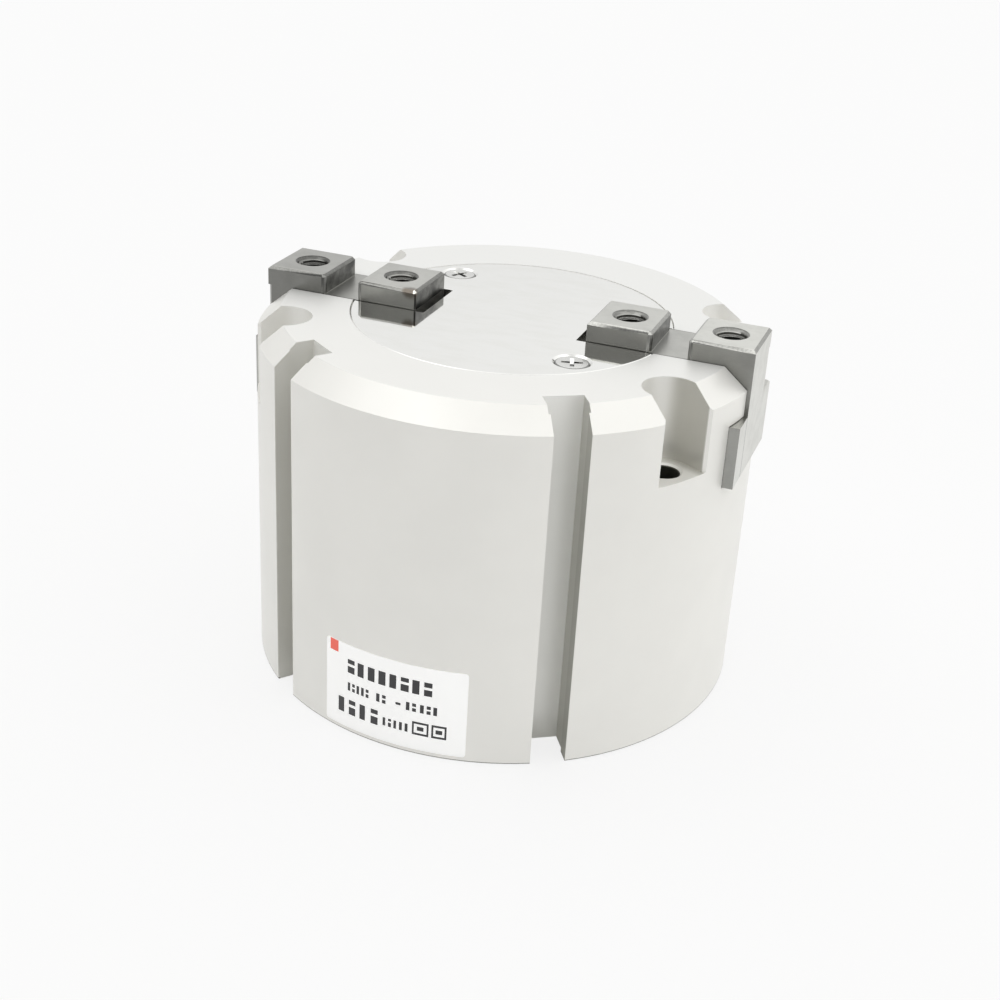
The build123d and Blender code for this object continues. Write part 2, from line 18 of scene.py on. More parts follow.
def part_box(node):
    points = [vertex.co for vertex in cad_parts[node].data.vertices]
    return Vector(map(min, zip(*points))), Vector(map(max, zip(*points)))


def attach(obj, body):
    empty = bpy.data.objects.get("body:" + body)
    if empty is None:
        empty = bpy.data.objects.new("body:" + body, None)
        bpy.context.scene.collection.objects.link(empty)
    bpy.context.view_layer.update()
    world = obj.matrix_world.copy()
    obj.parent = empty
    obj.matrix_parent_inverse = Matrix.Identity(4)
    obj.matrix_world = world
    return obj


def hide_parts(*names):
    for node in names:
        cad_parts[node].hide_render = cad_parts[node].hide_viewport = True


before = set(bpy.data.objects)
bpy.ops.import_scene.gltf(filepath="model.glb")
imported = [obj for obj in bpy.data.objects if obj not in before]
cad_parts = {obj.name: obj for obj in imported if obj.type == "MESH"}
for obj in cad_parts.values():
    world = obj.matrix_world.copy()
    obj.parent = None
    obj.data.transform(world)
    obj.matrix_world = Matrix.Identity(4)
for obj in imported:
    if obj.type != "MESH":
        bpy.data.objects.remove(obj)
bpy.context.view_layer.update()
mm = 0.001

# %% [markdown]
# ## Writing shader maths as Python
#
# A material is a graph of nodes, and formulas made of Math nodes are hard to read.
# The small class below wraps one output socket and overloads the arithmetic signs, so
# that `1 - mask * 0.3` adds the two Math nodes by itself.

# %% One socket as a number
class Wire:
    """One output socket that can be added, multiplied and compared."""

    def __init__(self, finish, socket):
        self.finish = finish
        self.socket = socket

    def math(self, operation, first, second):
        return self.finish.node("ShaderNodeMath", {"operation": operation}, {0: first, 1: second})

    def __add__(self, other):
        return self.math("ADD", self, other)

    def __radd__(self, other):
        return self.math("ADD", other, self)

    def __sub__(self, other):
        return self.math("SUBTRACT", self, other)

    def __rsub__(self, other):
        return self.math("SUBTRACT", other, self)

    def __mul__(self, other):
        return self.math("MULTIPLY", self, other)

    def __rmul__(self, other):
        return self.math("MULTIPLY", other, self)

    def __truediv__(self, other):
        return self.math("DIVIDE", self, other)

    def __lt__(self, other):
        return self.math("LESS_THAN", self, other)

    def __gt__(self, other):
        return self.math("GREATER_THAN", self, other)

    def largest(self, other):
        return self.math("MAXIMUM", self, other)

    def smallest(self, other):
        return self.math("MINIMUM", self, other)

    def size(self):
        """The number without its sign."""
        return self.math("ABSOLUTE", self, 0.0)

    def root(self):
        return self.math("SQRT", self, 0.0)

    def fade(self, low, high, start=0.0, end=1.0):
        """A smooth step from start at low to end at high."""
        return self.finish.node(
            "ShaderNodeMapRange",
            {"interpolation_type": "SMOOTHSTEP"},
            {"Value": self, "From Min": low, "From Max": high, "To Min": start, "To Max": end},
        )

    def within(self, low, high):
        """1 between two values and 0 outside them."""
        return (self > low) * (self < high)

# %% [markdown]
# Every other node comes from one method that sets the node's own settings first and
# its sockets after them. Colours and directions have three parts, which a Math node
# would turn into one, so they go through Mix and Vector Math nodes instead.

# %% A tree of nodes
class Graph:
    """A node tree of a material or of the world."""

    def __init__(self, tree, space):
        self.tree = tree
        self.place = self.node("ShaderNodeTexCoord", {}, {}, space)

    def node(self, kind, settings, sockets, output=0):
        """Any node, from its type, its settings, and its sockets' values or links."""
        made = self.tree.nodes.new(kind)
        for name, value in settings.items():
            setattr(made, name, value)
        for name, value in sockets.items():
            if isinstance(value, Wire):
                self.tree.links.new(value.socket, made.inputs[name])
            else:
                made.inputs[name].default_value = value
        return Wire(self, made.outputs[output])

    def axes(self):
        """The three coordinates, each as a wire."""
        split = self.node("ShaderNodeSeparateXYZ", {}, {0: self.place})
        outputs = split.socket.node.outputs
        return [Wire(self, outputs[index]) for index in range(3)]

    def vector(self, operation, sockets, output=0):
        """A Vector Math node."""
        return self.node("ShaderNodeVectorMath", {"operation": operation}, sockets, output)

    def noise(self, size, detail=2.0, stretch=(1, 1, 1), roughness=0.5):
        """Noise from 0 to 1 whose features measure about size metres."""
        spread = tuple(1 / (size * along) for along in stretch)
        place = self.vector("MULTIPLY", {0: self.place, 1: spread})
        sockets = {"Vector": place, "Scale": 1.0, "Detail": detail, "Roughness": roughness}
        return self.node("ShaderNodeTexNoise", {}, sockets)

    def blend(self, amount, first, second):
        """A colour that goes from first to second with amount."""
        settings = {"data_type": "RGBA"}
        return self.node("ShaderNodeMix", settings, {0: amount, 6: first, 7: second}, 2)

    def scaled(self, shade, amount):
        """A colour wire made brighter or darker by a wire or a number."""
        return self.vector("SCALE", {0: shade, "Scale": amount})

    def bump(self, height, distance):
        """A normal for a height of 0 to 1 that is distance metres high."""
        return self.node("ShaderNodeBump", {}, {"Height": height, "Distance": distance})

# %% [markdown]
# A finish is a graph round one Principled shader. What is the same all over a surface
# is written on the shader's own sockets, and only what changes from place to place is
# linked. Colours are written as a colour picker shows them, and made linear for light.

# %% A material and its colours
class Finish(Graph):
    """A material whose main shader takes plain values and driven ones."""

    def __init__(self, name, **sockets):
        self.material = bpy.data.materials.new(name)
        self.material.use_nodes = True
        super().__init__(self.material.node_tree, "Object")
        self.shader = self.tree.nodes["Principled BSDF"]
        for socket, value in sockets.items():
            self.shader.inputs[socket.replace("_", " ")].default_value = value

    def drive(self, **wires):
        """Link wires to sockets of the main shader, by name."""
        for socket, wire in wires.items():
            self.tree.links.new(wire.socket, self.shader.inputs[socket.replace("_", " ")])


def colour(red, green, blue):
    """A linear colour from the values of a colour picker, 0 to 255."""
    return tuple((value / 255) ** 2.2 for value in (red, green, blue)) + (1.0,)


def times(tone, amount):
    """A plain colour made brighter or darker."""
    return tuple(min(1.0, part * amount) for part in tone[:3]) + (1.0,)


print("picker grey 186 is", round(colour(186, 186, 186)[0], 3), "in linear light")

# %% [markdown]
# ## Clear anodised aluminium
#
# The body is turned and milled from bar, then anodised: a thin hard clear layer that
# leaves the metal pale, even and slightly warm, with a silky sheen. It is part metal
# and part veil, so a Principled shader at a middle metallic value stands for it.
# Very fine grain in the bump breaks the reflection, and slow noise shifts its colour
# by two or three parts in a hundred, as real batches of anodising do. The function
# also takes places, a list of functions that paint shade and light over the plain
# colour.

# %% Anodised aluminium
def anodised(name, tone, grain, roughness, places=()):
    finish = Finish(name, Metallic=0.35)
    slow = finish.noise(14 * mm, detail=3)
    fine = finish.noise(grain, detail=3)
    cast = finish.blend(slow.fade(0.3, 0.7), tone, times(tone, 0.975))
    for place in places:
        cast = place(finish, cast)
    finish.drive(
        Base_Color=cast,
        Roughness=roughness + (fine - 0.5) * 0.06 + (slow - 0.5) * 0.04,
        Normal=finish.bump(fine, 0.006 * mm),
    )
    return finish.material

# %% [markdown]
# ## Painted shade and light on the body
#
# The holes get painted shade, and so does the side of the front right counterbore
# next to the finger. The top gets painted shade that grows towards the back, the walls
# of the two sensor grooves get painted shade and their floors painted light, and a thin
# painted shadow runs round the foot. A mask picks each place with sums of the
# coordinates, so the marks follow the shape of the body and need no image.

# %% Painted shade in the counterbores and on the top
body_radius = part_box("body")[1].y
body_top = 62.0 * mm
below_top = body_top - 0.1 * mm
notch_circle = 38.4 * mm
notch_floor = 47.95 * mm
notch_x, notch_y = cos(radians(30)), sin(radians(30))


def hole_shade(finish, cast):
    """Painted shade in the holes below the floors of the four counterbores."""
    x, y, z = finish.axes()
    off_x = x.size() - notch_circle * notch_x
    off_y = y.size() - notch_circle * notch_y
    in_hole = (off_x * off_x + off_y * off_y < (2.7 * mm) ** 2) * (z < notch_floor)
    return finish.blend(in_hole, cast, colour(62, 62, 55))


def notch_shade(finish, cast):
    """Painted shade on the front right counterbore, a round end with a straight way out."""
    x, y, z = finish.axes()
    outward = x.size() * notch_x + y.size() * notch_y - notch_circle
    aside = y.size() * notch_x - x.size() * notch_y
    inward = outward.smallest(0.0)
    in_notch = aside * aside + inward * inward < (4.8 * mm) ** 2
    in_notch = in_notch * z.within(notch_floor, below_top) * (y < 0.0) * (x > 0.0)
    # the painted shade is strongest on the wall next to the finger
    shade_to_finger = aside.fade(-4.5 * mm, -2.6 * mm, 0.55, 0.04)
    return finish.blend(in_notch * shade_to_finger, cast, colour(160, 158, 146))


def top_shade(finish, cast):
    """Painted shade on the top face, growing towards the back."""
    x, y, z = finish.axes()
    back_shade = (z > body_top - 0.05 * mm) * y.fade(-45 * mm, 35 * mm, 0.45, 1.2)
    return finish.blend(back_shade.smallest(1.0), cast, colour(232, 232, 229))


print("body radius", round(body_radius / mm, 2), "mm, top at", round(body_top / mm, 2), "mm")

# %% Painted shade and light in the grooves and at the foot
chamfer_foot = 58.6 * mm
chamfer_slope = 4.0 / 3.4
groove_floor = 35.95 * mm
groove_lip = 40.05 * mm
# the bearing in degrees, how much painted shade the walls get, and how much more at the lip
sensor_grooves = ((-57.3, 0.40, 0.16), (-126.6, 0.16, 0.02))


def unfolded_radius(x, y, z):
    """The distance from the axis, with the top chamfer laid out onto the cylinder."""
    return (x * x + y * y).root() + (z - chamfer_foot).largest(0) * chamfer_slope


def groove_shade_and_light(finish, cast):
    """Painted shade on the walls and painted light on the floors of the two sensor grooves."""
    x, y, z = finish.axes()
    under_skin = (unfolded_radius(x, y, z) < body_radius - 0.15 * mm) * (z < below_top)
    for bearing, wall_shade, lip_shade in sensor_grooves:
        out_x, out_y = cos(radians(bearing)), sin(radians(bearing))
        outward = x * out_x + y * out_y
        aside = (y * out_x - x * out_y).size()
        wall = aside.within(2.5 * mm, 3.7 * mm) * (outward > groove_floor) * under_skin
        # painted shade on the groove walls
        shade = wall * (wall_shade + (outward > groove_lip) * lip_shade)
        cast = finish.blend(shade, cast, colour(120, 120, 106))
        # painted light on the groove floor
        on_floor = outward.within(groove_floor - 0.25 * mm, groove_floor) * (z < below_top)
        cast = finish.blend(on_floor * (aside < 3.2 * mm), cast, colour(251, 251, 247))
    return cast


def foot_shadow(finish, cast):
    """A thin painted shadow round the edge that the body stands on."""
    x, y, z = finish.axes()
    foot = (z < 0.30 * mm) * (unfolded_radius(x, y, z) > body_radius - 0.4 * mm)
    return finish.blend(foot * 0.9, cast, colour(112, 111, 104))


# painted shade and light on the body, place by place
body_shade_and_light = (hole_shade, notch_shade, top_shade, groove_shade_and_light, foot_shadow)
body_finish = anodised("anodised_body", colour(240, 239, 234), 0.12 * mm, 0.40, body_shade_and_light)
cap_finish = anodised("anodised_cap", colour(214, 213, 206), 0.10 * mm, 0.34)
print("made", body_finish.name, "with", len(body_finish.node_tree.nodes), "nodes")

# %% [markdown]
# ## Polished stainless steel
#
# The end plate is thin stainless sheet with a mirror face. It carries faint swirls
# from its polishing and a slow waviness that bends what it reflects a little.

# %% Polished plate
def polished(name):
    finish = Finish(name, Metallic=1.0)
    swirl = finish.noise(7 * mm, detail=3, stretch=(1.0, 0.4, 1.0))
    wave = finish.noise(11 * mm, detail=1)
    finish.drive(
        Base_Color=finish.blend(
            swirl.fade(0.35, 0.75), colour(243, 243, 240), colour(240, 240, 236)
        ),
        Roughness=swirl.fade(0.3, 0.8, 0.05, 0.07),
        Normal=finish.bump(wave, 0.02 * mm),
    )
    return finish.material


plate_finish = polished("polished_plate")
print("made", plate_finish.name)

# %% [markdown]
# ## Ground tool steel
#
# The fingers are hardened steel, ground on a surface grinder and left bare. Grinding
# draws fine lines along the finger, so the noise is stretched along X, and handling
# leaves soft darker clouds. Roughness follows both, because smears dull the metal.

# %% Ground steel
def ground(name, tone, roughness, wear_and_shade=()):
    finish = Finish(name, Metallic=1.0)
    lines = finish.noise(0.10 * mm, detail=3, stretch=(14, 1, 1.5))
    cloud = finish.noise(3.5 * mm, detail=4, roughness=0.6)
    speck = finish.noise(0.35 * mm, detail=2)
    shade = (cloud.fade(0.35, 0.72) * 0.7 + lines.fade(0.4, 0.8) * 0.3).smallest(1.0)
    steel = finish.blend(shade, tone, times(tone, 0.86))
    # the functions given paint wear, and painted light and shade, over the steel
    for painter in wear_and_shade:
        steel = painter(finish, steel, cloud, speck)
    finish.drive(
        Base_Color=steel,
        Roughness=roughness + (cloud - 0.5) * 0.12 + (speck - 0.5) * 0.08,
        Normal=finish.bump(lines * 0.7 + speck * 0.3, 0.004 * mm),
    )
    return finish.material

# %% [markdown]
# ## Painted light and shade on the fingers, partly wear
#
# Each face of a finger is painted its own brightness. The pads' tops are painted
# lighter towards the right, and their chamfers darker, in streaks that are partly
# scuffs. The fronts are painted darker towards both ends, and the side that slides in
# the T-slot is painted lighter again. Each of these is one number, a level that
# multiplies the steel's colour, and it changes along X in the steps of a small table.

# %% Painted light and wear along the fingers
pads_top = 65.33 * mm
pads_shoulder = pads_top - 0.5 * mm
neck_front = -6.25 * mm
flange_front = -11.6 * mm
# each step goes from one x to another, in mm, and from one level to another
# the levels paint light and shade, partly wear, on the sides, tops, fronts and chamfers
side_steps = ((-42, -22, 0.70, 1.0), (26, 36, 0.0, 0.17), (42.8, 43.0, 0.0, 0.28))
top_steps = ((-36, -20, 0.88, 1.14), (-5, 18, 0.0, 0.12), (26, 36, 0.0, 0.20))
front_steps = ((-32, -20, 0.45, 0.94), (27, 34, 0.0, -0.26), (38, 43, 0.0, -0.10))
chamfer_steps = ((-36, -20, 0.50, 0.60), (-5, 18, 0.0, 0.38))


def stepped(along, steps):
    """The sum of a table's steps."""
    first, *others = [along.fade(low * mm, high * mm, *levels) for low, high, *levels in steps]
    for other in others:
        first = first + other
    return first


def finger_light_and_wear(finish, steel, cloud, speck):
    """Painted light and shade by face and along X, partly wear."""
    x, y, z = finish.axes()
    # each face gets its own level of painted light and shade
    level = stepped(x, side_steps)
    level = level + (z > pads_top) * (stepped(x, top_steps) - level)
    slide_face = (y - flange_front).size() < 0.1 * mm
    front = ((y - neck_front).size() < 0.15 * mm).largest(slide_face) * (z < pads_shoulder)
    fronts = stepped(x, front_steps) + slide_face * ((x < 0.0) * 0.45 + 0.12)
    level = level + front * (fronts - level)
    at_the_ends = 1 - (y.size() < 5.7 * mm) * 0.2
    chamfer_level = stepped(x, chamfer_steps) * speck.fade(0.35, 0.62, 0.88, 1.12) * at_the_ends
    level = level + z.within(pads_shoulder, pads_top) * (chamfer_level - level)
    return finish.scaled(steel, level)

# %% [markdown]
# The faces between two pads get painted shade, blotchy with noise, and the tapped holes
# get painted shade that deepens downwards. One inner corner of the left finger has been
# knocked, which left a bare bright nick beside a small brown smear.

# %% Painted shade between pads and in holes, and the knocked corner
pad_centres = (20.65 * mm, 37.65 * mm)
pad_half = 5.5 * mm
sink_radius = 3.03 * mm
knocked_corner = (-15.5 * mm, -6.05 * mm, 65.2 * mm)
smear_middle = (-16.5 * mm, -6.05 * mm, 65.2 * mm)


def shade_between_pads(finish, steel, cloud, speck):
    """Painted shade on the faces between the pads, blotchy with noise."""
    x, y, z = finish.axes()
    inner, outer = pad_centres
    band = z.within(body_top + 0.1 * mm, pads_top - 0.46 * mm)
    for gap_face in (inner + pad_half, pad_half - inner, pad_half - outer):
        face = ((x - gap_face).size() < 0.35 * mm) * band
        steel = finish.scaled(steel, 1 - face * cloud.fade(0.35, 0.65, 0.86, 0.5))
    return steel


def shade_in_taps(finish, steel, cloud, speck):
    """Painted shade on the threads, deeper down, on both fingers alike."""
    x, y, z = finish.axes()
    for centre in pad_centres:
        off = x.size() - centre
        inside = off * off + y * y < sink_radius**2
        steel = finish.scaled(steel, 1 - inside * z.fade(63.2 * mm, 64.7 * mm, 0.86, 0.30))
    return steel


def knock(finish, steel, cloud, speck):
    """A bright nick in a brown smear, with edges broken up by noise."""
    from_smear = finish.vector("DISTANCE", {0: finish.place, 1: smear_middle}, 1)
    from_nick = finish.vector("DISTANCE", {0: finish.place, 1: knocked_corner}, 1)
    smear = (from_smear + (cloud - 0.5) * (2.4 * mm)).fade(0.7 * mm, 1.8 * mm, 0.8, 0.0)
    steel = finish.blend(smear * 0.95, steel, colour(100, 90, 79))
    nick = from_nick + (speck - 0.5) * (0.7 * mm) < 0.42 * mm
    return finish.blend(nick, steel, colour(225, 222, 214))

# %% [markdown]
# Painted shade darkens a screw's cross recess and the gap round its head. The same
# steel in darker tones serves the wedge cam, the bolt and the springs inside.

# %% The steel finishes
screw_offset = 16.05 * mm


def screw_shade(finish, steel, cloud, speck):
    """Painted shade in the cross recess and round the heads of the two plate screws."""
    x, y, z = finish.axes()
    off_x, off_y = x.size() - screw_offset, y.size() - screw_offset
    from_axis = off_x * off_x + off_y * off_y
    recess = (from_axis < (1.1 * mm) ** 2) * z.within(60.0 * mm, 61.79 * mm)
    rim = from_axis > (2.58 * mm) ** 2
    return finish.scaled(steel, (1 - recess * 0.82) * (1 - rim * 0.65))


finger_steel = colour(186, 186, 181)
finger_shade_and_wear = (finger_light_and_wear, shade_between_pads, shade_in_taps)
right_finish = ground("ground_right_finger", finger_steel, 0.33, finger_shade_and_wear)
left_finish = ground("ground_left_finger", finger_steel, 0.33, finger_shade_and_wear + (knock,))
cam_finish = ground("ground_cam", colour(150, 150, 148), 0.30)
screw_finish = ground("plated_screws", colour(226, 226, 223), 0.28, (screw_shade,))
spring_finish = ground("spring_steel", colour(96, 96, 95), 0.42)
oxide_finish = ground("black_oxide", colour(44, 44, 46), 0.45)
print("made", left_finish.name, "with", len(left_finish.node_tree.nodes), "nodes")

# %% [markdown]
# ## Parts that stay inside
#
# Seals, bumpers, the magnet and the bush are hidden in the closed gripper, but a
# library part can be taken apart, so each still gets its own finish: soft rubber with
# a mould grain, dull bonded magnet with specks, and oiled sintered bronze with pores.

# %% Rubber, magnet and bronze
def moulded(name, tone, roughness, grain):
    finish = Finish(name)
    fine = finish.noise(grain, detail=3)
    finish.drive(
        Base_Color=finish.blend(fine.fade(0.55, 0.8), tone, times(tone, 1.5)),
        Roughness=roughness + (fine - 0.5) * 0.15,
        Normal=finish.bump(fine, 0.01 * mm),
    )
    return finish.material


def sintered(name):
    finish = Finish(name, Metallic=1.0)
    pores = finish.noise(0.18 * mm, detail=2)
    bronze, oil = colour(186, 146, 92), colour(104, 74, 44)
    finish.drive(
        Base_Color=finish.blend(pores.fade(0.55, 0.7), bronze, oil),
        Roughness=pores.fade(0.3, 0.8, 0.32, 0.6),
        Normal=finish.bump(pores, 0.02 * mm),
    )
    return finish.material


rubber_finish = moulded("nitrile_rubber", colour(38, 38, 38), 0.55, 0.2 * mm)
bumper_finish = moulded("bumper_rubber", colour(126, 120, 96), 0.5, 0.25 * mm)
magnet_finish = moulded("bonded_magnet", colour(52, 52, 53), 0.6, 0.15 * mm)
bronze_finish = sintered("oiled_bronze")
piston_finish = anodised("anodised_piston", colour(196, 194, 184), 0.08 * mm, 0.30)
print("finishes so far:", len(bpy.data.materials))

# %% [markdown]
# ## Give every carried-over solid its finish
#
# A CAD node comes with one flat material. Putting a new one in its slot changes the
# look and leaves the mesh, its place and its size alone.

# %% Finish of each CAD node
finishes = {
    "body": body_finish,
    "end_plate": plate_finish,
    "end_plate_screws": screw_finish,
    "finger_right": right_finish,
    "finger_left": left_finish,
    "wedge_cam": cam_finish,
    "cam_lock_washer": spring_finish,
    "cam_bolt": oxide_finish,
    "piston": piston_finish,
    "piston_seal": rubber_finish,
    "magnet_ring": magnet_finish,
    "rod_bush": bronze_finish,
    "rod_seal": rubber_finish,
    "rod_seal_retainer": spring_finish,
    "upper_bumper": bumper_finish,
    "lower_bumper": bumper_finish,
    "end_cap": cap_finish,
    "cap_gasket": rubber_finish,
    "snap_ring": spring_finish,
}
for node, finish in finishes.items():
    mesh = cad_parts[node].data
    mesh.materials.clear()
    mesh.materials.append(finish)
print("finished nodes:", len(finishes))

# %% [markdown]
# ## Clean edges on the machined pieces
#
# A solid from CAD arrives as loose triangles with knife edges, and no real edge is
# that sharp: deburring leaves a narrow flat that catches the light. A merged copy of
# each piece that shows gets a Bevel modifier on its hard edges and smooth shading on
# the rest. The copy stands for the node, which stays as it is for the physics.

# %% Merge a copy of a node
def plain_mesh(thing):
    """Bake an object's modifiers into its mesh and drop them."""
    bpy.context.view_layer.update()
    graph = bpy.context.evaluated_depsgraph_get()
    baked = bpy.data.meshes.new_from_object(thing.evaluated_get(graph))
    thing.modifiers.clear()
    thing.data = baked
    return thing


def merged_copy(node):
    """A copy of a CAD node with its triangles joined into flat faces."""
    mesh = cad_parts[node].data.copy()
    work = bmesh.new()
    work.from_mesh(mesh)
    bmesh.ops.remove_doubles(work, verts=work.verts, dist=0.002 * mm)
    bmesh.ops.dissolve_limit(
        work, angle_limit=radians(0.2), verts=work.verts, edges=work.edges, delimit=set()
    )
    work.to_mesh(mesh)
    work.free()
    thing = bpy.data.objects.new("dressed_" + node, mesh)
    bpy.context.scene.collection.objects.link(thing)
    return thing

# %% [markdown]
# The bevel's width is given by a weight on each edge, so one call can break a rim
# broadly and a hole only a little. The Weighted Normal modifier then keeps the large
# flat faces flat, because the narrow bevel would otherwise tilt their shading.

# %% Bevel and shade it
def ease_edges(thing, width, shortest=0.0, segments=2, hard_from=28, sharp_from=50, share=None):
    """Bevel the hard edges and smooth the shading between them.

    shortest is the length under which an edge is left alone, hard_from and sharp_from
    are angles in degrees, and share(edge) is the part of the width an edge gets."""
    mesh = thing.data
    work = bmesh.new()
    work.from_mesh(mesh)
    weight = work.edges.layers.float.new("bevel_weight_edge")
    for edge in work.edges:
        hard = len(edge.link_faces) == 2 and edge.calc_face_angle(0) > radians(hard_from)
        kept = float(hard and edge.calc_length() > shortest)
        edge[weight] = kept * share(edge) if share else kept
    work.to_mesh(mesh)
    work.free()
    bevel = thing.modifiers.new("edge break", "BEVEL")
    bevel.width = width
    bevel.segments = segments
    bevel.limit_method = "WEIGHT"
    plain_mesh(thing)
    thing.data.shade_smooth()
    thing.data.set_sharp_from_angle(angle=radians(sharp_from))
    weighted = thing.modifiers.new("flat faces stay flat", "WEIGHTED_NORMAL")
    weighted.keep_sharp = True
    weighted.weight = 100
    return plain_mesh(thing)

# %% [markdown]
# ## Cut the M5 threads
#
# Jaws are bolted to the fingers with M5 screws, and the threads show in all four
# holes. A thread is a groove that follows a helix, which is a job for Geometry Nodes:
# a Spiral curve gives the path, a small diamond swept along it gives the cutter, and
# a Boolean takes it out of the wall of the hole. The same tree cuts the air ports.

# %% Thread cutter tree
def thread_tree():
    """A diamond swept along a helix, with its sizes as named inputs."""
    tree = bpy.data.node_groups.new("thread_cutter", "GeometryNodeTree")
    face = tree.interface
    face.new_socket("Geometry", in_out="INPUT", socket_type="NodeSocketGeometry")
    for name in ("Radius", "Pitch", "Depth", "Turns"):
        face.new_socket(name, in_out="INPUT", socket_type="NodeSocketFloat")
    face.new_socket("Material", in_out="INPUT", socket_type="NodeSocketMaterial")
    face.new_socket("Geometry", in_out="OUTPUT", socket_type="NodeSocketGeometry")

    def add(kind, **sockets):
        made = tree.nodes.new(kind)
        for name, value in sockets.items():
            socket = made.inputs[name.replace("_", " ")]
            if isinstance(value, bpy.types.NodeSocket):
                tree.links.new(value, socket)
            else:
                socket.default_value = value
        return made

    def product(first, second):
        made = tree.nodes.new("ShaderNodeMath")
        made.operation = "MULTIPLY"
        for index, value in enumerate((first, second)):
            if isinstance(value, bpy.types.NodeSocket):
                tree.links.new(value, made.inputs[index])
            else:
                made.inputs[index].default_value = value
        return made.outputs[0]

    given = tree.nodes.new("NodeGroupInput").outputs
    helix = add(
        "GeometryNodeCurveSpiral",
        Resolution=28,
        Rotations=given["Turns"],
        Start_Radius=given["Radius"],
        End_Radius=given["Radius"],
        Height=product(given["Turns"], given["Pitch"]),
    )
    upright = add("GeometryNodeSetCurveNormal", Curve=helix.outputs[0])
    upright.mode = "Z_UP"
    diamond = add("GeometryNodeCurvePrimitiveCircle", Resolution=4, Radius=given["Depth"])
    cutter = add(
        "GeometryNodeCurveToMesh",
        Curve=upright.outputs[0],
        Profile_Curve=diamond.outputs[0],
        Fill_Caps=True,
    )
    real = add("GeometryNodeRealizeInstances", Geometry=cutter.outputs[0])
    painted = add("GeometryNodeSetMaterial", Geometry=real.outputs[0], Material=given["Material"])
    out = tree.nodes.new("NodeGroupOutput")
    tree.links.new(painted.outputs[0], out.inputs[0])
    return tree


thread_cutter = thread_tree()
print("tree", thread_cutter.name, "has", len(thread_cutter.nodes), "nodes")

# %% [markdown]
# A tree runs as a modifier, on a mesh of bare points or of none. Its inputs are set by
# their identifiers before Blender looks at the object for the first time. The result
# is baked into a plain mesh, which can then be turned, moved and used as a cutter.

# %% Run a tree on a mesh of points
def grow(name, tree, points=(), turns=(), **inputs):
    """A plain mesh made by a Geometry Nodes tree, from points with their turns."""
    mesh = bpy.data.meshes.new(name)
    mesh.from_pydata(points, [], [])
    if turns:
        mesh.attributes.new("turn", "FLOAT", "POINT").data.foreach_set("value", turns)
    thing = bpy.data.objects.new(name, mesh)
    bpy.context.scene.collection.objects.link(thing)
    modifier = thing.modifiers.new(name, "NODES")
    modifier.node_group = tree
    for item in tree.interface.items_tree:
        if item.in_out == "INPUT" and item.name in inputs:
            modifier[item.identifier] = inputs[item.name]
    return plain_mesh(thing)


def cut(thing, cutters):
    """Take the cutters out of a piece and delete them."""
    for cutter in cutters:
        boolean = thing.modifiers.new("cut", "BOOLEAN")
        boolean.operation = "DIFFERENCE"
        boolean.solver = "MANIFOLD"
        boolean.object = cutter
    plain_mesh(thing)
    for cutter in cutters:
        bpy.data.objects.remove(cutter)
    return thing

# %% [markdown]
# ## The threaded holes of the fingers and ports
#
# An M5 thread has a pitch of 0.8 mm and grows from the 4.2 mm tapping hole to 5 mm.
# The cutter is turned and moved by changing its mesh, so the piece keeps its origin.
# It starts a little below the mouth, where the countersink has taken the thread away.

# %% Threads
m5_path_radius = 2.3 * mm
m5_pitch = 0.8 * mm
m5_depth = 0.38 * mm
jaw_thread_length = 9.6 * mm
jaw_thread_start = 0.36 * mm


def m5_cutter(name, mouth, outward, length, finish):
    """A thread cutter from a hole's mouth inwards along its axis."""
    cutter = grow(
        name,
        thread_cutter,
        Radius=m5_path_radius,
        Pitch=m5_pitch,
        Depth=m5_depth,
        Turns=length / m5_pitch,
        Material=finish,
    )
    turn = Vector(outward).to_track_quat("Z", "Y").to_matrix().to_4x4()
    inner_end = Vector(mouth) - Vector(outward) * length
    cutter.data.transform(Matrix.Translation(inner_end) @ turn)
    return cutter


for node, sign in (("finger_right", 1), ("finger_left", -1)):
    finger = merged_copy(node)
    thread_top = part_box(node)[1].z - jaw_thread_start
    cutters = [
        m5_cutter(
            f"{node}_tap_{index}",
            (sign * centre, 0, thread_top),
            (0, 0, 1),
            jaw_thread_length,
            finishes[node],
        )
        for index, centre in enumerate(pad_centres)
    ]
    ease_edges(finger, 0.30 * mm, shortest=1.5 * mm, segments=1, hard_from=50, sharp_from=34)
    cut(finger, cutters)
    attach(finger, node)
    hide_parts(node)
    print(finger.name, "faces", len(finger.data.polygons))

# %% [markdown]
# ## The body, the plate and the pieces seen from below
#
# The body's edges get a small break, and its two air ports their M5 threads. The end
# plate has a wider polished bevel on its rim, which shows as a bright line, while its
# slots and holes are only deburred, like the cap and the ring below. The rim is first
# let out a little, so that the bevel doesn't open a dark gap round the plate.

# %% Dress the rest of the housing
plate_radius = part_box("end_plate")[1].y
plate_let_out = 0.06 * mm
port_heights = (9.2 * mm, 27.6 * mm)
port_seat = body_radius - 0.85 * mm
port_thread_length = 5.2 * mm


def rim_share(edge):
    """The plate's rim gets the whole width, its slots and holes a fifth."""
    middle = (edge.verts[0].co + edge.verts[1].co) / 2
    return 1.0 if middle.xy.length > plate_radius - 0.1 * mm else 0.2


def let_out_rim(plate):
    """Move the rim outwards, by as much as its bevel would draw it in."""
    for vertex in plate.data.vertices:
        from_axis = vertex.co.xy.length
        if from_axis > plate_radius - 0.02 * mm:
            vertex.co.xy *= (plate_radius + plate_let_out) / from_axis


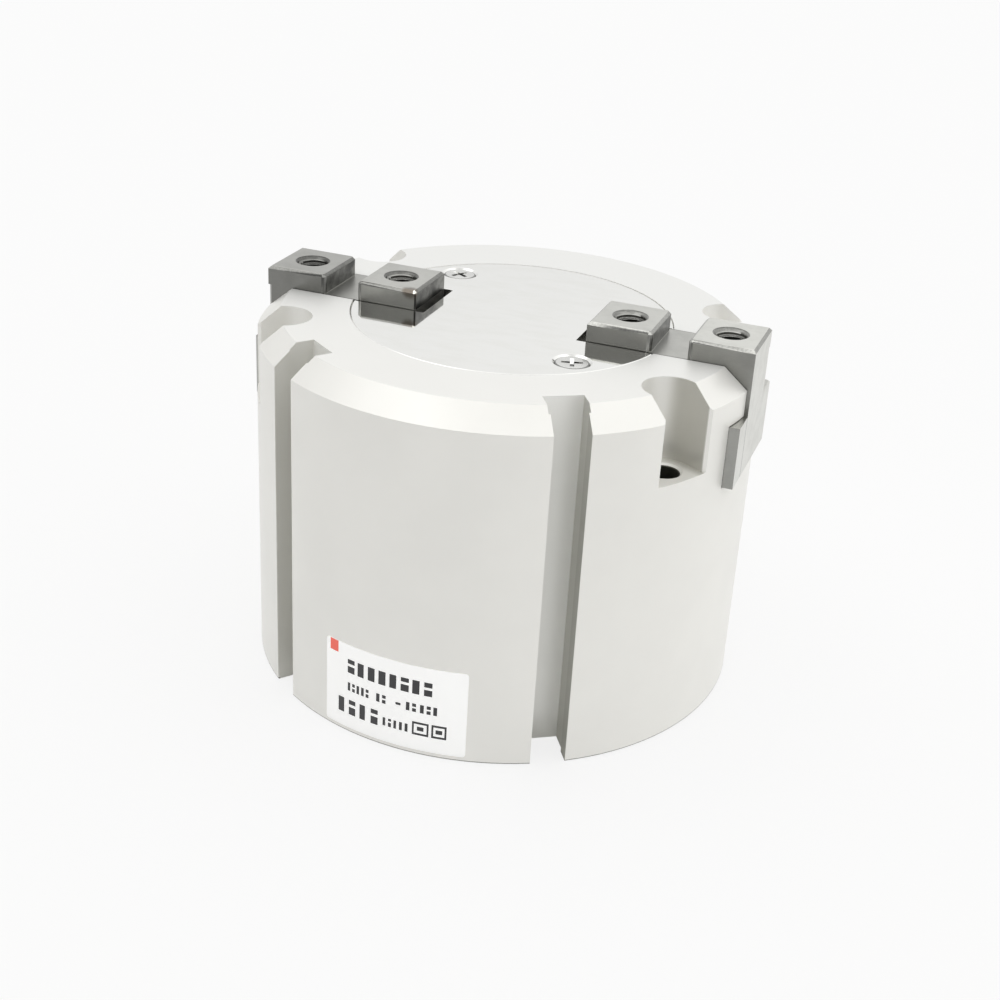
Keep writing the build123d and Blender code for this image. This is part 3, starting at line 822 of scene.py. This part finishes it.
edge_breaks = {
    "body": (0.14 * mm, "anodised_aluminium", None),
    "end_plate": (0.32 * mm, "plate_steel", rim_share),
    "end_cap": (0.10 * mm, "cap_aluminium", None),
    "snap_ring": (0.08 * mm, "spring_steel", None),
}
for node, (width, slot, share) in edge_breaks.items():
    piece = merged_copy(node)
    if node == "end_plate":
        let_out_rim(piece)
    ease_edges(piece, width, share=share)
    if node == "body":
        cut(piece, [
            m5_cutter("port", (0, port_seat, z), (0, 1, 0), port_thread_length, body_finish)
            for z in port_heights
        ])
    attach(piece, "housing")
    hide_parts(node)
    print(piece.name, "faces", len(piece.data.polygons))

# %% [markdown]
# ## Cross-recessed screws
#
# Two countersunk M3 screws hold the end plate. One head is turned on a lathe here: a
# profile of radius and depth spun round Z, then a tapered cross is cut into it. It is
# then repeated by Geometry Nodes on two points, each with its own turn, because no two
# screws stop at the same angle.

# %% Shapes for a screw
def made_object(name, work):
    """An object from a finished bmesh, with its faces turned outwards."""
    bmesh.ops.recalc_face_normals(work, faces=work.faces)
    mesh = bpy.data.meshes.new(name)
    work.to_mesh(mesh)
    work.free()
    thing = bpy.data.objects.new(name, mesh)
    bpy.context.scene.collection.objects.link(thing)
    return thing


def spun(name, profile, around=48):
    """A closed mesh of (radius, z) points spun round Z, from axis to axis."""
    work = bmesh.new()
    rings = []
    for radius, z in profile:
        turns = [2 * pi * step / around for step in range(around if radius else 1)]
        rings.append([work.verts.new((radius * cos(a), radius * sin(a), z)) for a in turns])
    for one, two in zip(rings, rings[1:]):
        for step in range(around):
            after = (step + 1) % around
            if len(one) == 1:
                work.faces.new((one[0], two[step], two[after]))
            elif len(two) == 1:
                work.faces.new((one[after], one[step], two[0]))
            else:
                work.faces.new((one[after], one[step], two[step], two[after]))
    return made_object(name, work)


def wedge(name, top, bottom, high, low):
    """A tapered block from its half sizes at two levels."""
    work = bmesh.new()
    corners = [(-1, -1), (1, -1), (1, 1), (-1, 1)]
    loops = [
        [work.verts.new((sx * half[0], sy * half[1], z)) for sx, sy in corners]
        for half, z in ((top, high), (bottom, low))
    ]
    work.faces.new(loops[0])
    work.faces.new(loops[1])
    for index in range(4):
        after = (index + 1) % 4
        work.faces.new((loops[0][index], loops[0][after], loops[1][after], loops[1][index]))
    return made_object(name, work)

# %% One screw
# radius and depth in mm, from the middle of the head to the middle of the tip
screw_profile = (
    (0.0, 0.0), (2.5, 0.0), (2.68, -0.03), (2.78, -0.1), (2.8, -0.24),
    (1.25, -1.87), (1.25, -8.8), (1.05, -9.0), (0.0, -9.0),
)
cross_top = (1.80 * mm, 0.34 * mm)
cross_foot = (0.70 * mm, 0.26 * mm)
cross_high, cross_low = 0.05 * mm, -1.15 * mm

screw = spun("plate_screw", [(radius * mm, z * mm) for radius, z in screw_profile])
cut(screw, [
    wedge("cross_a", cross_top, cross_foot, cross_high, cross_low),
    wedge("cross_b", cross_top[::-1], cross_foot[::-1], cross_high, cross_low),
])
screw.data.shade_smooth()
screw.data.set_sharp_from_angle(angle=radians(24))
print("screw faces", len(screw.data.polygons))

# %% [markdown]
# The pattern tree puts one instance of the screw on each point, turned by the point's
# own attribute. Realize Instances makes them real mesh, and Set Material paints them.

# %% Repeat it on two points
def pattern_tree():
    """One copy of an object on each point, turned by the point's attribute."""
    tree = bpy.data.node_groups.new("screw_pattern", "GeometryNodeTree")
    face = tree.interface
    face.new_socket("Geometry", in_out="INPUT", socket_type="NodeSocketGeometry")
    face.new_socket("Screw", in_out="INPUT", socket_type="NodeSocketObject")
    face.new_socket("Material", in_out="INPUT", socket_type="NodeSocketMaterial")
    face.new_socket("Geometry", in_out="OUTPUT", socket_type="NodeSocketGeometry")
    given = tree.nodes.new("NodeGroupInput").outputs
    info = tree.nodes.new("GeometryNodeObjectInfo")
    turn = tree.nodes.new("GeometryNodeInputNamedAttribute")
    turn.data_type = "FLOAT"
    turn.inputs["Name"].default_value = "turn"
    upright = tree.nodes.new("ShaderNodeCombineXYZ")
    euler = tree.nodes.new("FunctionNodeEulerToRotation")
    placed = tree.nodes.new("GeometryNodeInstanceOnPoints")
    real = tree.nodes.new("GeometryNodeRealizeInstances")
    painted = tree.nodes.new("GeometryNodeSetMaterial")
    out = tree.nodes.new("NodeGroupOutput")
    for start, end in (
        (given["Screw"], info.inputs["Object"]),
        (turn.outputs["Attribute"], upright.inputs["Z"]),
        (upright.outputs[0], euler.inputs[0]),
        (given["Geometry"], placed.inputs["Points"]),
        (info.outputs["Geometry"], placed.inputs["Instance"]),
        (euler.outputs[0], placed.inputs["Rotation"]),
        (placed.outputs[0], real.inputs[0]),
        (real.outputs[0], painted.inputs["Geometry"]),
        (given["Material"], painted.inputs["Material"]),
        (painted.outputs[0], out.inputs[0]),
    ):
        tree.links.new(start, end)
    return tree


screw_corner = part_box("end_plate_screws")[1]
head_radius = 3.0 * mm
aside = screw_corner.x - head_radius
places = [(aside, -aside, screw_corner.z), (-aside, aside, screw_corner.z)]
screws = grow(
    "dressed_plate_screws",
    pattern_tree(),
    points=places,
    turns=(radians(18), radians(-32)),
    Screw=screw,
    Material=screw_finish,
)
bpy.data.objects.remove(screw)
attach(screws, "housing")
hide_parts("end_plate_screws")
print("screws at", round(aside / mm, 2), "mm, faces", len(screws.data.polygons))

# %% [markdown]
# ## A printed film on the cylinder
#
# The rating label is a white film bent round the body. It is a thin curved shell that
# follows the cylinder, so its points come from an angle and a height. Its print is
# kept general: a red tab, rows of dark marks and two empty frames, with no lettering.
# The marks are placed by the angle round the axis and the height on the film.

# %% The layout of the print
# rows of bars: left, right, low and high as shares of the film, then how many bars and
# how much of its cell each one fills
bar_rows = (
    (0.178, 0.800, 0.672, 0.835, 8, 0.60),
    (0.180, 0.355, 0.455, 0.555, 5, 0.55),
    (0.398, 0.482, 0.455, 0.555, 2, 0.55),
    (0.606, 0.690, 0.455, 0.555, 2, 0.55),
    (0.700, 0.830, 0.455, 0.555, 3, 0.55),
    (0.105, 0.445, 0.165, 0.345, 4, 0.50),
    (0.448, 0.640, 0.190, 0.290, 5, 0.48),
)
plain_marks = (
    (0.535, 0.570, 0.490, 0.520),
    (0.684, 0.728, 0.235, 0.285),
    (0.806, 0.850, 0.235, 0.285),
)
frames = ((0.651, 0.761, 0.180, 0.340), (0.779, 0.877, 0.180, 0.340))
frame_line = 0.013
red_tab = (0.032, 0.101, 0.865, 1.0)
print("rows", len(bar_rows), "marks", len(plain_marks), "frames", len(frames))

# %% The print
def glowing_label_print(name, start, end, foot, top):
    """White film between two bearings, in degrees, and two heights, with a weak painted glow."""
    # the film glows weakly in its own colours, as painted light
    finish = Finish(name, Roughness=0.32, Coat_Weight=0.25, Emission_Strength=0.20)
    x, y, z = finish.axes()
    bearing = finish.node("ShaderNodeMath", {"operation": "ARCTAN2"}, {0: y, 1: x}) * (180 / pi)
    along = (bearing - start) / (end - start)
    height = (z - foot) / (top - foot)

    def patch(left, right, low, high):
        return along.within(left, right) * height.within(low, high)

    def bars(left, right, low, high, number, filled):
        """A row of plain bars, some of them split by a slit, chosen by noise."""
        cell = (along - left) / (right - left) * number
        inside = finish.node("ShaderNodeMath", {"operation": "FRACT"}, {0: cell})
        own = finish.node("ShaderNodeMath", {"operation": "FLOOR"}, {0: cell + low * 97})
        chance = finish.node("ShaderNodeTexWhiteNoise", {"noise_dimensions": "1D"}, {"W": own})
        slit_at = low + (high - low) * (0.34 + chance * 0.32)
        slit = ((height - slit_at).size() < (high - low) * 0.09) * (chance > 0.45)
        return patch(left, right, low, high) * (1 - slit) * (inside < filled + chance * 0.14)

    dark = patch(*plain_marks[0])
    for mark in plain_marks[1:]:
        dark = dark.largest(patch(*mark))
    for row in bar_rows:
        dark = dark.largest(bars(*row))
    for left, right, low, high in frames:
        across = (left + frame_line, right - frame_line)
        upright = (low + 2 * frame_line, high - 2 * frame_line)
        dark = dark.largest(patch(left, right, low, high) - patch(*across, *upright))
    speck = finish.noise(0.3 * mm)
    paper = finish.blend(speck.fade(0.4, 0.7), colour(250, 250, 249), colour(246, 246, 245))
    printed = finish.blend(dark, paper, colour(38, 38, 40))
    inked = finish.blend(patch(*red_tab), printed, colour(232, 96, 80))
    finish.drive(
        Base_Color=inked,
        Emission_Color=inked,
        Normal=finish.bump(speck, 0.003 * mm),
    )
    return finish.material

# %% The film
def curved_film(name, radius, start, end, foot, top, thickness, corner, steps=160):
    """A closed shell on a cylinder, with rounded corners at both ends."""
    work = bmesh.new()
    rings = []
    for step in range(steps + 1):
        bearing = radians(start + (end - start) * step / steps)
        from_end = radius * radians(end - start) * min(step, steps - step) / steps
        short = max(0.0, corner - from_end)
        inset = corner - (corner**2 - short**2) ** 0.5
        low, high = foot + inset, top - inset
        outside = radius + thickness
        corners = ((radius, low), (outside, low), (outside, high), (radius, high))
        ring = [work.verts.new((r * cos(bearing), r * sin(bearing), z)) for r, z in corners]
        rings.append(ring)
    for one, two in zip(rings, rings[1:]):
        for index in range(4):
            after = (index + 1) % 4
            work.faces.new((one[index], two[index], two[after], one[after]))
    work.faces.new(rings[0])
    work.faces.new(reversed(rings[-1]))
    thing = made_object(name, work)
    thing.data.shade_smooth()
    thing.data.set_sharp_from_angle(angle=radians(40))
    return thing


def front_bearing(x):
    """The bearing in degrees of the point at x on the front of the cylinder."""
    return degrees(atan2(-(body_radius**2 - x**2) ** 0.5, x))


# the photograph shows the film a hair higher, and a little further round, than the CAD
label_lift = 0.24 * mm
start_shift, end_shift = 0.5, 0.3

label_low, label_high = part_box("label")
label_start = front_bearing(label_low.x) + start_shift
label_end = front_bearing(label_high.x) + end_shift
label_place = (label_start, label_end, label_low.z + label_lift, label_high.z + label_lift)
film = curved_film("rating_film", body_radius, *label_place, thickness=0.09 * mm, corner=0.5 * mm)
film.data.materials.append(glowing_label_print("glowing_label_print", *label_place))
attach(film, "housing")
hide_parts("label")
print("label bearings", round(label_start, 2), round(label_end, 2))

# %% [markdown]
# ## The studio
#
# The gripper stands on a pale sheet inside a light tent. The tent glows most above the
# front, and its opening, where the camera stands, is the only dim part. That opening
# is what the upright faces of the steel fingers show, and why they look so dark in
# the photograph beside the bright aluminium. To the camera and to mirrors the sheet is
# almost white, but right under the gripper no mirror can see that glow.

# %% Floor
floor_glow_to_camera = 0.82
footprint = body_radius - 0.6 * mm


def studio_floor(name, size):
    mesh = bpy.data.meshes.new(name)
    below = -0.01 * mm
    corners = [(x * size, y * size, below) for x, y in ((-1, -1), (1, -1), (1, 1), (-1, 1))]
    mesh.from_pydata(corners, [], [(0, 1, 2, 3)])
    floor = bpy.data.objects.new(name, mesh)
    bpy.context.scene.collection.objects.link(floor)
    finish = Finish(name, Roughness=0.6)
    finish.shader.inputs["Base Color"].default_value = colour(242, 242, 241)
    finish.shader.inputs["Specular IOR Level"].default_value = 0.2
    glow = finish.node("ShaderNodeEmission", {}, {"Color": colour(251, 251, 251), "Strength": 1.0})
    camera_ray = finish.node("ShaderNodeLightPath", {}, {}, "Is Camera Ray")
    glossy_ray = Wire(finish, camera_ray.socket.node.outputs["Is Glossy Ray"])
    x, y, z = finish.axes()
    under = x * x + y * y < footprint**2
    seen = camera_ray * floor_glow_to_camera + glossy_ray * (1 - under)
    both = finish.node("ShaderNodeMixShader", {}, {0: seen})
    links = finish.tree.links
    links.new(finish.shader.outputs[0], both.socket.node.inputs[1])
    links.new(glow.socket, both.socket.node.inputs[2])
    links.new(both.socket, finish.tree.nodes["Material Output"].inputs["Surface"])
    mesh.materials.append(finish.material)
    return floor


floor = studio_floor("paper_sweep", 3.0)
print("floor", floor.name, "glows", floor_glow_to_camera, "to the camera")

# %% [markdown]
# The tent is one formula for the world's strength, where 1 is white. Each direction
# of the sky has a part to the east, a part to the north and a height, all from -1 to
# 1. The walls get brighter upwards and towards the right, a ring of light hangs high
# over the front and is strongest on the left, and the zenith has half its light. The
# opening shows the dim room below and lamps above. The camera sees an even near-white.

# %% World light
world = bpy.data.worlds.new("studio_world")
bpy.context.scene.world = world
world.use_nodes = True
sky = Graph(world.node_tree, "Generated")
east, north, height = sky.axes()

brighter_right = east.fade(-0.9, 0.2, 0.85, 1.0) + east.fade(0.2, 0.8, 0.0, 0.10)
walls = height.fade(0.10, 0.44, 0.88, 1.05) * brighter_right * north.fade(0.6, 0.98, 1.0, 0.94)
ring = height.fade(0.60, 0.86, 0.0, 0.45) * north.fade(-0.2, 0.5, 1.0, 0.25)
tent = walls + ring * east.fade(-0.5, 0.1, 3.0, 1.3)
room = height.fade(0.60, 0.80, 0.26, 1.92)
opening = (north * -0.98 - east * 0.15).fade(0.10, 0.62)
zenith = height.fade(0.92, 0.99, 1.0, 0.50)
level = (tent + opening * (room - tent)) * zenith

seen_white = 0.97
to_camera = sky.node("ShaderNodeLightPath", {}, {}, "Is Camera Ray")
level = level + to_camera * (seen_white - level)
background = sky.tree.nodes["Background"]
sky.tree.links.new(level.socket, background.inputs["Strength"])
background.inputs["Color"].default_value = (1, 1, 1, 1)
print("world of", len(sky.tree.nodes), "nodes")

# %% [markdown]
# ## The camera
#
# The photograph's camera was found from the outlines of the body and the pads. It
# looks down at about 26 degrees from a little right of the front, with the frame
# turned about three degrees, so its three axes are built one after the other.

# %% Camera
camera_azimuth = radians(19.166)
camera_elevation = radians(25.783)
camera_distance = 278.526 * mm
camera_focus = Vector((0, 0, 30 * mm))
camera_roll = radians(3.356)
camera_yaw = -0.0008
camera_pitch = -0.0106
lens_in_pixels = 1555.97
frame_in_pixels = 1000

back = Vector((
    sin(camera_azimuth) * cos(camera_elevation),
    -cos(camera_azimuth) * cos(camera_elevation),
    sin(camera_elevation),
))
upright = Vector((0, 0, 1))
ahead = -back
sideways = ahead.cross(upright).normalized()
ahead = (ahead + sideways * camera_yaw + sideways.cross(ahead) * camera_pitch).normalized()
sideways = ahead.cross(upright).normalized()
above = sideways.cross(ahead)
right = sideways * cos(camera_roll) + above * sin(camera_roll)
up = above * cos(camera_roll) - sideways * sin(camera_roll)

lens = bpy.data.cameras.new("product_camera")
lens.sensor_width = 36
lens.lens = lens.sensor_width * lens_in_pixels / frame_in_pixels
lens.clip_start = 0.01
camera = bpy.data.objects.new("product_camera", lens)
bpy.context.scene.collection.objects.link(camera)
turn = Matrix((right, up, -ahead)).transposed().to_4x4()
camera.matrix_world = Matrix.Translation(camera_focus + back * camera_distance) @ turn
bpy.context.scene.camera = camera
bpy.context.scene.view_settings.view_transform = "Standard"
print("lens", round(lens.lens, 2), "mm")
